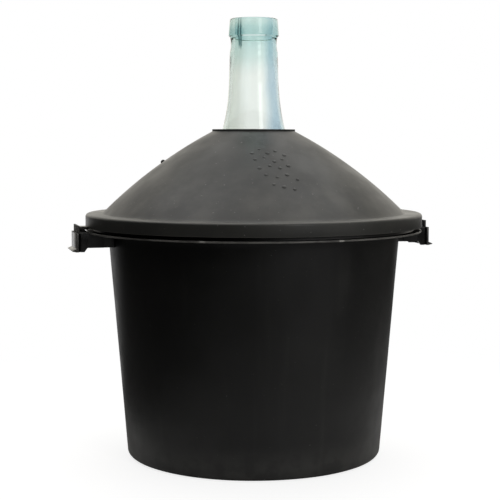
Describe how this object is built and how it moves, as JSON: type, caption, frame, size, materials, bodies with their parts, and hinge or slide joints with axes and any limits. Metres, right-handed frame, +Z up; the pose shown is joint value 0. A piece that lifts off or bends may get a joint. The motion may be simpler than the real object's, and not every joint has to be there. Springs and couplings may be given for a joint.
{
  "type": "cased demijohn",
  "caption": "Glass demijohn with an open mouth, standing in a tapered plastic tub with carrying lugs, under a lift-off conical cover that the neck comes through.",
  "frame": {"origin": "centre of the tub's standing ring, on the surface that it stands on", "axes": "+Z up along the bottle's neck; the two carrying lugs lie on +X and -X; the picture looks from 14 degrees to the -X side of -Y"},
  "size_m": [0.56, 0.51, 0.66],
  "materials": {
    "tub_plastic": "black moulded polypropylene, satin",
    "cover_plastic": "black moulded polypropylene, satin, scuffed to grey",
    "bottle_glass": "clear, pale blue-green"
  },
  "bodies": {
    "tub": {"tub": "tub_plastic"},
    "bottle": {"bottle": "bottle_glass"},
    "cover": {"cover": "cover_plastic"}
  },
  "joints": [
    {"name": "bottle_lift", "type": "slide", "parent": "tub", "child": "bottle", "axis": [0, 0, 1], "range_m": [0, 0.36]},
    {"name": "cover_lift", "type": "slide", "parent": "bottle", "child": "cover", "axis": [0, 0, 1], "range_m": [0, 0.32]}
  ]
}
